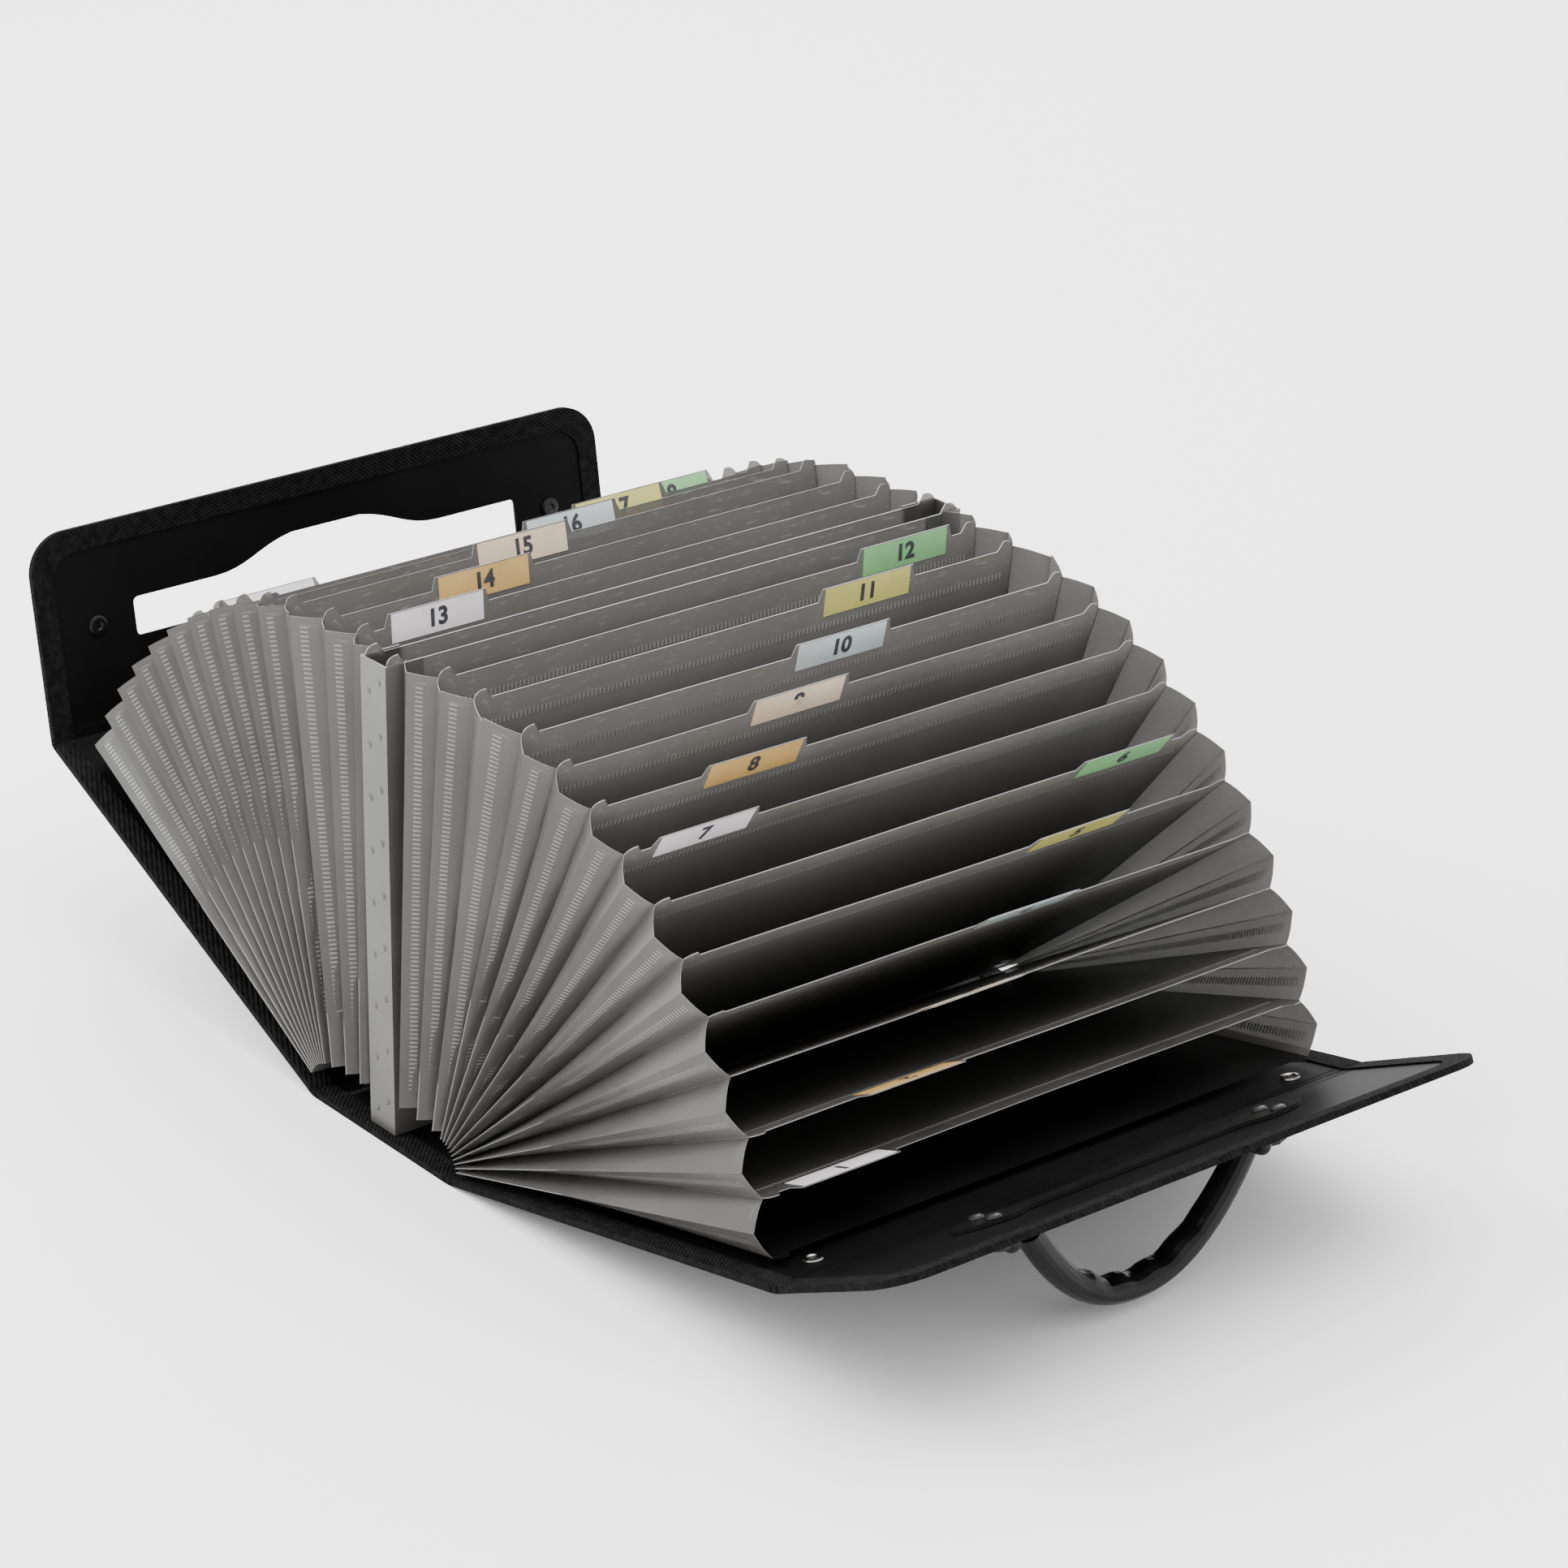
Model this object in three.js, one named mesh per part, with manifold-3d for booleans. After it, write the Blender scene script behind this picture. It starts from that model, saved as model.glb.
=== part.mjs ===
// Expanding document case, standing open with both halves fanned out.
// Millimetres, Z up, X along the expansion, Y along the width. Origin at the bottom centre.
import * as THREE from 'three';
import { mergeVertices } from 'three/addons/utils/BufferGeometryUtils.js';
import Module from 'manifold-3d';

const wasm = await Module();
wasm.setup();

// Cover sizes
const coverWidth = 330;
const spineDepth = 106;
const frontHeight = 234.5;
const backHeight = 238.1;
const outerFlapDepth = 101;
const innerFlapDepth = 83.5;
const sheetThick = 1.4;
const cornerRadius = 20;
const hingeHeight = 1.9;
const hingeSetback = 1.3;

// How far the case stands open, in degrees above the floor
const frontAngle = 12;
const innerFlapAngle = 25.5;
const backAngle = 23.8;
const outerFlapAngle = 80.5;

// Binding tape round the cover
const tapeWidth = 11;
const tapeHalf = 1.6;
const tapePocketHalf = 1.0;
const tapeOver = 0.9;
const tapeSetback = 1.9;

// Rigid box pocket
const boxBack = -12;
const boxFront = 7;
const boxHalfWidth = 161;
const boxFlange = 20;
const boxSkin = 0.9;
const boxFloor = 3.8;
const boxTop = 229;
const dimpleCount = 9;
const dimpleX = [-6.5, 1.5];

// Dividers and their gussets
const dividerCount = 12;
const dividerThick = 0.8;
const edgeRise = 0.3;
const dividerHalfWidth = 150;
const dividerTop = 229;
const fanX = 41;
const fanZ = 2.8;
const fanStart = 15;
const footTaper = 0.85;
const gussetStart = 30;
const gussetThick = 0.6;
const stubSpan = 0.55;
const stubOut = 0.9;
const foldGap = 0.45;
const foldBottom = 163;
const foldTop = 158;
const earWidth = 9;
const earHeight = 4.5;
const tabHeight = 6;
const tabWidth = 52;
const tabPitch = 43;
const tabPlaces = 6;

// Handle, its mounts and the closing hardware
const mountY = 79;
const mountS = 34;
const pivotDepth = 7;
const gripDrop = 45;
const gripBow = 2.2;
const gripInset = 18.6;
const gripWide = 6.8;
const gripDeep = 5.6;
const gripSwell = 0.7;
const gripWave = 1.1;
const stripHalf = 11;
const stripNeck = 6;
const slotFrom = 42;
const slotTo = 61;
const slotArch = 73;
const slotHalf = 112;
const archFoot = 66;
const archBend = [46, 40];
const archShoulder = 20;
const buttonS = 52;
const buttonY = 133;
const buttonRadius = 11.5;
const eyeletU = frontHeight - 13.5;
const eyeletY = coverWidth / 2 - 31;
const loopThick = 2.6;
const loopRoute = [
  [223, 1.9], [219, 2.3], [214, 3.1], [208, 4], [202, 4.7], [196, 5.1], [190, 5],
  [184.6, 4.4], [180.4, 3.3], [177.8, 1.8], [176.9, 0], [177.8, -1.8], [180.4, -3.3],
  [184.6, -4.4], [190, -5], [196, -5.1], [202, -4.7], [208, -4], [214, -3.1],
  [219, -2.3], [223, -1.9],
];

const polypropylene = new THREE.MeshStandardMaterial({ color: 0x141315, roughness: 0.6 });
const tapeCloth = new THREE.MeshStandardMaterial({ color: 0x0c0c0c, roughness: 0.95 });
const smokeFilm = new THREE.MeshStandardMaterial({ color: 0x8f8c8b, roughness: 0.35 });
const silverFilm = new THREE.MeshStandardMaterial({ color: 0xa9a9a8, roughness: 0.4 });
const blackPlastic = new THREE.MeshStandardMaterial({ color: 0x0d0d0e, roughness: 0.4 });
const nickel = new THREE.MeshStandardMaterial({ color: 0xb9b9b9, roughness: 0.25, metalness: 1 });
const elasticCord = new THREE.MeshStandardMaterial({ color: 0x0a0a0a, roughness: 0.9 });

const group = new THREE.Group();

function radians(degrees) {
  return degrees * Math.PI / 180;
}

function toSolid(geometry) {
  const bare = new THREE.BufferGeometry();
  bare.setAttribute('position', geometry.getAttribute('position').clone());
  if (geometry.index) bare.setIndex(geometry.index.clone());
  const merged = mergeVertices(bare, 1e-4);
  return new wasm.Manifold(new wasm.Mesh({
    numProp: 3,
    vertProperties: new Float32Array(merged.getAttribute('position').array),
    triVerts: new Uint32Array(merged.index.array),
  }));
}

function toGeometry(solid) {
  const mesh = solid.getMesh();
  const geometry = new THREE.BufferGeometry();
  const points = [];
  for (let i = 0; i < mesh.triVerts.length; i += 1) {
    const v = mesh.triVerts[i] * mesh.numProp;
    points.push(mesh.vertProperties[v], mesh.vertProperties[v + 1], mesh.vertProperties[v + 2]);
  }
  geometry.setAttribute('position', new THREE.Float32BufferAttribute(points, 3));
  geometry.computeVertexNormals();
  return geometry;
}

function join(parts) {
  let whole = toSolid(parts[0]);
  for (const part of parts.slice(1)) whole = whole.add(toSolid(part));
  return toGeometry(whole);
}

function cut(body, holes) {
  let left = toSolid(body);
  for (const hole of holes) left = left.subtract(toSolid(hole));
  return toGeometry(left);
}

function place(name, geometry, material) {
  const mesh = new THREE.Mesh(geometry, material);
  mesh.name = name;
  group.add(mesh);
}

// A frame laid on a cover panel: x runs up the panel, y along the width, z to the inside
function panelFrame(side, x, z, degrees) {
  const a = radians(degrees);
  const up = new THREE.Vector3(side * Math.cos(a), 0, Math.sin(a));
  const across = new THREE.Vector3(0, side, 0);
  const inward = new THREE.Vector3(-side * Math.sin(a), 0, Math.cos(a));
  return new THREE.Matrix4().makeBasis(up, across, inward).setPosition(x, 0, z);
}

function box(x0, x1, y0, y1, z0, z1) {
  return new THREE.BoxGeometry(x1 - x0, y1 - y0, z1 - z0)
    .translate((x0 + x1) / 2, (y0 + y1) / 2, (z0 + z1) / 2);
}

function slab(shape, z0, z1) {
  return new THREE.ExtrudeGeometry(shape, { depth: z1 - z0, bevelEnabled: false, curveSegments: 8 })
    .translate(0, 0, z0);
}

// A closed solid from its corners and triangles, turned inside out if they face inwards
function closedSolid(points, faces) {
  const geometry = new THREE.BufferGeometry();
  geometry.setAttribute('position', new THREE.Float32BufferAttribute(points, 3));
  const position = geometry.getAttribute('position');
  const [a, b, c] = [new THREE.Vector3(), new THREE.Vector3(), new THREE.Vector3()];
  let volume = 0;
  for (let i = 0; i < faces.length; i += 3) {
    a.fromBufferAttribute(position, faces[i]);
    b.fromBufferAttribute(position, faces[i + 1]);
    c.fromBufferAttribute(position, faces[i + 2]);
    volume += a.dot(b.cross(c));
  }
  const turned = faces.slice();
  if (volume < 0) {
    for (let i = 0; i < faces.length; i += 3) {
      [turned[i], turned[i + 1]] = [faces[i + 1], faces[i]];
    }
  }
  geometry.setIndex(turned);
  return geometry;
}

// The sides between rings of n corners each
function ringSides(count, n) {
  const faces = [];
  for (let i = 0; i + 1 < count; i += 1) {
    for (let j = 0; j < n; j += 1) {
      const k = (j + 1) % n;
      faces.push(i * n + j, i * n + k, (i + 1) * n + k);
      faces.push(i * n + j, (i + 1) * n + k, (i + 1) * n + j);
    }
  }
  return faces;
}

// A solid through convex rings of points, each with the same number of points
function loft(rings) {
  const n = rings[0].length;
  const faces = ringSides(rings.length, n);
  const last = (rings.length - 1) * n;
  for (let j = 1; j + 1 < n; j += 1) {
    faces.push(0, j + 1, j);
    faces.push(last, last + j, last + j + 1);
  }
  return closedSolid(rings.flat().flatMap((p) => [p.x, p.y, p.z]), faces);
}

// Triangles that fill a flat outline and run the same way round as its corners
function fill(corners, flat) {
  const way = THREE.ShapeUtils.area(flat) > 0;
  const faces = [];
  for (const [i, j, k] of THREE.ShapeUtils.triangulateShape(flat, [])) {
    const same = (THREE.ShapeUtils.area([flat[i], flat[j], flat[k]]) > 0) === way;
    faces.push(corners[i], corners[same ? j : k], corners[same ? k : j]);
  }
  return faces;
}

function disc(radius, x, y, z0, z1, segments) {
  return new THREE.CylinderGeometry(radius, radius, z1 - z0, segments)
    .rotateX(Math.PI / 2)
    .translate(x, y, (z0 + z1) / 2);
}

// A turned piece standing on z, from a closed outline of radius and height
function turned(outline, x, y, segments) {
  const points = outline.map(([r, h]) => new THREE.Vector2(r, h));
  return new THREE.LatheGeometry(points, segments).rotateX(Math.PI / 2).translate(x, y, 0);
}

const halfPlate = coverWidth / 2 - tapeOver;
const frames = {
  front: panelFrame(1, spineDepth / 2, hingeHeight, frontAngle),
  back: panelFrame(-1, -spineDepth / 2, hingeHeight, backAngle),
};
frames.innerFlap = panelFrame(
  1,
  spineDepth / 2 + frontHeight * Math.cos(radians(frontAngle)),
  hingeHeight + frontHeight * Math.sin(radians(frontAngle)),
  innerFlapAngle,
);
frames.outerFlap = panelFrame(
  -1,
  -spineDepth / 2 - backHeight * Math.cos(radians(backAngle)),
  hingeHeight + backHeight * Math.sin(radians(backAngle)),
  outerFlapAngle,
);
frames.spine = new THREE.Matrix4().setPosition(-spineDepth / 2, 0, hingeHeight);

function plate(length, half) {
  return box(hingeSetback, length - hingeSetback, -half, half, -sheetThick / 2, sheetThick / 2);
}

// Tape folded round one long edge of a panel
function edgeTape(length, side) {
  const outer = coverWidth / 2;
  const y0 = side < 0 ? -outer : outer - tapeWidth;
  const strip = box(tapeSetback, length - tapeSetback, y0, y0 + tapeWidth, -tapeHalf, tapeHalf);
  const pocketEdge = halfPlate + 0.3;
  const p0 = side < 0 ? -pocketEdge : outer - tapeWidth - 1;
  const p1 = side < 0 ? -outer + tapeWidth + 1 : pocketEdge;
  return cut(strip, [box(0, length, p0, p1, -tapePocketHalf, tapePocketHalf)]);
}

function flapOutline(from, length, half, radius) {
  const shape = new THREE.Shape();
  shape.moveTo(from, -half);
  shape.lineTo(length - radius, -half);
  shape.absarc(length - radius, -half + radius, radius, -Math.PI / 2, 0, false);
  shape.lineTo(length, half - radius);
  shape.absarc(length - radius, half - radius, radius, 0, Math.PI / 2, false);
  shape.lineTo(from, half);
  shape.lineTo(from, -half);
  return shape;
}

// Tape round the two ends and the free edge of a flap
function flapTape(length) {
  const outer = coverWidth / 2;
  const whole = slab(flapOutline(tapeSetback, length, outer, cornerRadius), -tapeHalf, tapeHalf);
  const windowCut = slab(
    flapOutline(-5, length - tapeWidth, outer - tapeWidth, cornerRadius - 6),
    -4,
    4,
  );
  const pocket = slab(
    flapOutline(-5, length - tapeOver + 0.3, halfPlate + 0.3, cornerRadius - tapeOver + 0.3),
    -tapePocketHalf,
    tapePocketHalf,
  );
  return cut(whole, [windowCut, pocket]);
}

function buildSpine() {
  place('cover_spine', plate(spineDepth, halfPlate).applyMatrix4(frames.spine), polypropylene);
  place('binding_spine_near', edgeTape(spineDepth, -1).applyMatrix4(frames.spine), tapeCloth);
  place('binding_spine_far', edgeTape(spineDepth, 1).applyMatrix4(frames.spine), tapeCloth);
}

function buildPanel(name, frame, length, holes) {
  const sheet = plate(length, halfPlate);
  const body = holes.length ? cut(sheet, holes) : sheet;
  place(`cover_${name}`, body.applyMatrix4(frame), polypropylene);
  const near = frame === frames.back ? 1 : -1;
  place(`binding_${name}_near`, edgeTape(length, near).applyMatrix4(frame), tapeCloth);
  place(`binding_${name}_far`, edgeTape(length, -near).applyMatrix4(frame), tapeCloth);
}

// The long hand slot, its far side bowed towards the free edge
function slotShape() {
  const shape = new THREE.Shape();
  const r = 3;
  shape.moveTo(slotFrom, -slotHalf + r);
  shape.lineTo(slotFrom, slotHalf - r);
  shape.quadraticCurveTo(slotFrom, slotHalf, slotFrom + r, slotHalf);
  shape.lineTo(slotTo - r, slotHalf);
  shape.quadraticCurveTo(slotTo, slotHalf, slotTo, slotHalf - r);
  const [low, high] = archBend;
  shape.lineTo(slotTo, archFoot);
  shape.bezierCurveTo(slotTo, low, slotArch - r, high, slotArch, archShoulder);
  shape.lineTo(slotArch, -archShoulder);
  shape.bezierCurveTo(slotArch - r, -high, slotTo, -low, slotTo, -archFoot);
  shape.lineTo(slotTo, -slotHalf + r);
  shape.quadraticCurveTo(slotTo, -slotHalf, slotTo - r, -slotHalf);
  shape.lineTo(slotFrom + r, -slotHalf);
  shape.quadraticCurveTo(slotFrom, -slotHalf, slotFrom, -slotHalf + r);
  return shape;
}

function buildOuterFlap() {
  const reach = outerFlapDepth - tapeOver;
  const sheet = slab(
    flapOutline(hingeSetback, reach, halfPlate, cornerRadius - tapeOver),
    -sheetThick / 2,
    sheetThick / 2,
  );
  const holes = [slab(slotShape(), -4, 4)];
  for (const y of [-buttonY, buttonY]) holes.push(disc(2.8, buttonS, y, -4, 4, 24));
  place('outer_flap', cut(sheet, holes).applyMatrix4(frames.outerFlap), polypropylene);
  place('binding_outer_flap', flapTape(outerFlapDepth).applyMatrix4(frames.outerFlap), tapeCloth);
}

// Button outside, pressed through the flap to a small ring inside
function buttonOutline() {
  const skin = sheetThick / 2 + 0.3;
  return [
    [0, -skin - 5.2],
    [3.4, -skin - 5.2],
    [4.2, -skin - 4.4],
    [buttonRadius - 1.2, -skin - 4.2],
    [buttonRadius, -skin - 3.4],
    [buttonRadius - 1, -skin - 2.6],
    [4.2, -skin - 2.4],
    [4.2, -skin],
    [2.4, -skin],
    [2.4, skin],
    [5, skin],
    [5, skin + 0.5],
    [3.8, skin + 1.1],
    [2.2, skin + 1.1],
    [1.6, skin + 0.5],
    [0, skin + 0.5],
    [0, -skin - 5.2],
  ];
}

function buildButtons() {
  // The back frame runs across the width the other way, so near and far change places
  place('button_near', turned(buttonOutline(), buttonS, buttonY, 36)
    .applyMatrix4(frames.outerFlap), blackPlastic);
  place('button_far', turned(buttonOutline(), buttonS, -buttonY, 36)
    .applyMatrix4(frames.outerFlap), blackPlastic);
}

function buildInnerFlap() {
  const reach = innerFlapDepth - tapeOver;
  const sheet = slab(
    flapOutline(hingeSetback, reach, halfPlate, cornerRadius - tapeOver),
    -sheetThick / 2,
    sheetThick / 2,
  );
  const holes = [];
  for (const y of [-mountY, mountY]) {
    for (const s of [mountS - 6, mountS + 6]) holes.push(disc(1.9, s, y, -4, 4, 20));
  }
  place('inner_flap', cut(sheet, holes).applyMatrix4(frames.innerFlap), polypropylene);
  place('binding_inner_flap', flapTape(innerFlapDepth).applyMatrix4(frames.innerFlap), tapeCloth);
}

// Reinforcing strip inside the inner flap, narrower between its two paddle ends
function buildStrip() {
  const half = mountY + 18;
  const neck = mountY - 24;
  const [m, wide, slim] = [mountS, stripHalf, stripNeck];
  const shape = new THREE.Shape();
  shape.moveTo(m - slim, -neck);
  shape.bezierCurveTo(m - slim, -neck - 12, m - wide, -neck - 8, m - wide, -mountY + 4);
  shape.quadraticCurveTo(m - wide + 1, -half + 6, m, -half);
  shape.quadraticCurveTo(m + wide - 1, -half + 6, m + wide, -mountY + 4);
  shape.bezierCurveTo(m + wide, -neck - 8, m + slim, -neck - 12, m + slim, -neck);
  shape.lineTo(m + slim, neck);
  shape.bezierCurveTo(m + slim, neck + 12, m + wide, neck + 8, m + wide, mountY - 4);
  shape.quadraticCurveTo(m + wide - 1, half - 6, m, half);
  shape.quadraticCurveTo(m - wide + 1, half - 6, m - wide, mountY - 4);
  shape.bezierCurveTo(m - wide, neck + 8, m - slim, neck + 12, m - slim, neck);
  shape.lineTo(m - slim, -neck);
  const z0 = sheetThick / 2 + 0.3;
  const holes = [];
  for (const y of [-mountY, mountY]) {
    for (const s of [mountS - 6, mountS + 6]) holes.push(disc(1.9, s, y, -4, 6, 20));
  }
  const body = cut(slab(shape, z0, z0 + 1.8), holes);
  place('handle_strip', body.applyMatrix4(frames.innerFlap), blackPlastic);
}

function rivetOutline() {
  const inside = sheetThick / 2 + 0.3 + 1.8 + 0.3;
  const outside = -sheetThick / 2 - 0.25;
  return [
    [0, outside],
    [1.5, outside],
    [1.5, inside],
    [3.6, inside],
    [3.3, inside + 1],
    [2.2, inside + 1.7],
    [0, inside + 2],
    [0, outside],
  ];
}

function buildRivets() {
  const names = { [-1]: 'near', 1: 'far' };
  for (const side of [-1, 1]) {
    for (const [label, s] of [['a', mountS - 6], ['b', mountS + 6]]) {
      place(`rivet_${names[side]}_${label}`, turned(rivetOutline(), s, side * mountY, 20)
        .applyMatrix4(frames.innerFlap), nickel);
    }
  }
}

// Handle mount on the outside of the inner flap: a wedge base with a round collar inboard
function mountGeometry(side) {
  const top = -sheetThick / 2 - 0.55;
  const rings = [];
  const stations = [
    [16, 2, 2.2],
    [13, 4.5, 4.5],
    [6, 6.4, 8.6],
    [-2, 7.2, 10.8],
    [-7, 6.2, 10.4],
  ];
  for (const [out, half, deep] of stations) {
    const y = side * (mountY + out);
    rings.push([
      new THREE.Vector3(mountS - half, y, top),
      new THREE.Vector3(mountS + half, y, top),
      new THREE.Vector3(mountS + half, y, top - deep * 0.55),
      new THREE.Vector3(mountS + half * 0.55, y, top - deep),
      new THREE.Vector3(mountS - half * 0.55, y, top - deep),
      new THREE.Vector3(mountS - half, y, top - deep * 0.55),
    ]);
  }
  const collar = new THREE.SphereGeometry(6.4, 20, 14)
    .scale(1, 0.62, 1)
    .translate(mountS, side * (mountY - 9), top - pivotDepth);
  return join([loft(rings), collar]);
}

const pivotFrame = frames.innerFlap.clone();
const pivot = new THREE.Vector3(mountS, 0, -sheetThick / 2 - 0.55 - pivotDepth).applyMatrix4(pivotFrame);

function buildMounts() {
  place('handle_mount_near', mountGeometry(-1).applyMatrix4(frames.innerFlap), blackPlastic);
  place('handle_mount_far', mountGeometry(1).applyMatrix4(frames.innerFlap), blackPlastic);
}

// Grip: an arch hanging straight down from its pivot, thicker in the middle and waved inside
function buildHandle() {
  const rings = [];
  const steps = 34;
  const reach = mountY - gripInset;
  for (let i = 0; i <= steps; i += 1) {
    const t = i / steps;
    const y = -reach + 2 * reach * t;
    const k = y / reach;
    const z = -gripDrop * (1 - Math.abs(k) ** gripBow);
    const slope = gripDrop * gripBow * Math.abs(k) ** (gripBow - 1) * Math.sign(k) / reach;
    const dir = new THREE.Vector3(0, 1, slope).normalize();
    const out = new THREE.Vector3(0, dir.z, -dir.y);
    const middle = 1 - Math.abs(k) ** 4;
    const wide = gripWide + gripSwell * middle;
    const deep = gripDeep + gripSwell * middle;
    const wave = Math.abs(k) < 0.6 ? gripWave * Math.cos(k * Math.PI / 0.15) : 0;
    const ring = [];
    for (let j = 0; j < 16; j += 1) {
      const a = j / 16 * Math.PI * 2;
      const inner = Math.sin(a) < 0 ? deep - wave : deep;
      ring.push(new THREE.Vector3(
        pivot.x + wide * Math.cos(a),
        y + out.y * inner * Math.sin(a),
        pivot.z + z + out.z * inner * Math.sin(a),
      ));
    }
    rings.push(ring);
  }
  place('handle_grip', loft(rings), blackPlastic);
}

// Eyelet through the front panel just below the crease
function eyeletOutline() {
  const skin = sheetThick / 2 + 0.3;
  return [
    [2.3, -skin - 0.6],
    [4.2, -skin - 0.6],
    [4.6, -skin],
    [3, -skin],
    [3, skin],
    [4.6, skin],
    [4.2, skin + 0.7],
    [2.8, skin + 1],
    [2.2, skin + 0.4],
    [2.3, -skin - 0.6],
  ];
}

function buildEyelets() {
  const names = { [-1]: 'near', 1: 'far' };
  for (const side of [-1, 1]) {
    place(`eyelet_${names[side]}`, turned(eyeletOutline(), eyeletU, side * eyeletY, 32)
      .applyMatrix4(frames.front), nickel);
  }
}

// Elastic loop: both legs start below the eyelet and lie along the outside of the panel
function buildLoops() {
  const names = { [-1]: 'near', 1: 'far' };
  const low = -sheetThick / 2 - 0.3 - 0.6 - 0.35 - loopThick / 2;
  for (const side of [-1, 1]) {
    const legs = loopRoute.map(([u, y]) => new THREE.Vector3(u, side * eyeletY + y, low));
    const path = new THREE.CatmullRomCurve3(legs);
    const section = new THREE.Shape();
    section.absarc(0, 0, loopThick / 2, 0, Math.PI * 2, false);
    const cord = new THREE.ExtrudeGeometry(section, {
      steps: 48,
      extrudePath: path,
      curveSegments: 4,
      bevelEnabled: false,
    });
    place(`elastic_loop_${names[side]}`, cord.applyMatrix4(frames.front), elasticCord);
  }
}

// The line of each divider as seen from the side, from its foot to its top edge
function dividerLines(side, panelDegrees) {
  const lines = [];
  const face = (side > 0 ? boxFront : -boxBack) - boxSkin / 2;
  lines.push({ foot: [face, boxFloor], degrees: 90, height: dividerTop - boxFloor });
  lines.push({ foot: [fanX - 20, 4.2], degrees: 87.5, height: dividerTop - 4.2, from: 0 });
  lines.push({ foot: [fanX - 9, 3.6], degrees: 83.7, height: dividerTop - 3.6, from: 0 });
  const last = panelDegrees + 0.4;
  const fanned = dividerCount - 1;
  for (let k = 1; k <= fanned; k += 1) {
    const degrees = 83.7 + (last - 83.7) * k / fanned;
    lines.push({ foot: [fanX, fanZ], degrees, height: dividerTop - fanZ, from: fanStart });
  }
  return lines.map(({ foot, degrees, height, from }) => {
    const a = radians(degrees);
    return {
      height,
      from,
      at: (r, y, off) => new THREE.Vector3(
        side * (foot[0] + r * Math.cos(a) + off * Math.sin(a)),
        y,
        foot[1] + r * Math.sin(a) - off * Math.cos(a),
      ),
    };
  });
}

// Section across a divider and its gusset strips at one height, as points and flat outline.
// Each strip runs from the divider's edge to the free fold shared with the neighbour.
function dividerSection(line, neighbours, t, full) {
  const start = full ? gussetStart : line.from;
  const r = start + t * (line.height - gussetStart);
  const halfThick = dividerThick / 2 * (full ? 1 : footTaper);
  const points = [];
  const flat = [];
  const add = (s, y) => {
    points.push(line.at(r, y, s));
    flat.push(new THREE.Vector2(s, y));
  };
  const spans = neighbours.map((other) => {
    if (!other || !full) return stubSpan;
    const here = line.at(r, 0, 0);
    const there = other.at(gussetStart + t * (other.height - gussetStart), 0, 0);
    return here.distanceTo(there) / 2 - foldGap;
  });
  const ends = [-1, 1].map((end) => spans.map((span, i) => {
    const real = neighbours[i] && full;
    const out = real ? foldBottom + t * (foldTop - foldBottom) - dividerHalfWidth : stubOut;
    const deep = gussetThick * Math.hypot(span, out) / span;
    const thick = real ? deep : gussetThick;
    return { s: (i === 0 ? -1 : 1) * span, outer: dividerHalfWidth + out, thick, end };
  }));
  const [near, far] = ends;
  const notch = Math.min(near[0].thick, near[1].thick);
  add(halfThick, -dividerHalfWidth);
  add(near[1].s, -near[1].outer + near[1].thick);
  add(near[1].s, -near[1].outer);
  add(0, -dividerHalfWidth - notch);
  add(near[0].s, -near[0].outer);
  add(near[0].s, -near[0].outer + near[0].thick);
  add(-halfThick, -dividerHalfWidth);
  add(-halfThick, dividerHalfWidth);
  add(far[0].s, far[0].outer - far[0].thick);
  add(far[0].s, far[0].outer);
  add(0, dividerHalfWidth + notch);
  add(far[1].s, far[1].outer);
  add(far[1].s, far[1].outer - far[1].thick);
  add(halfThick, dividerHalfWidth);
  return { points, flat };
}

// Top edge from near to far: a rounded ear at each end and, where there is one, a raised label tab
function topProfile(height, tabY) {
  const base = height + edgeRise;
  const ear = height + earHeight;
  const top = height + tabHeight;
  const half = dividerHalfWidth;
  const left = [
    [-half, ear - 4],
    [-half + 0.7, ear - 1.9],
    [-half + 2.2, ear - 0.6],
    [-half + 4.6, ear],
    [-half + earWidth - 3, ear],
    [-half + earWidth, base],
  ];
  const tab = tabY === null ? [] : [
    [tabY - tabWidth / 2 - 2, base],
    [tabY - tabWidth / 2, top],
    [tabY + tabWidth / 2, top],
    [tabY + tabWidth / 2 + 2, base],
  ];
  const right = left.map(([y, r]) => [-y, r]).reverse();
  return [...left, ...tab, ...right];
}

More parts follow.
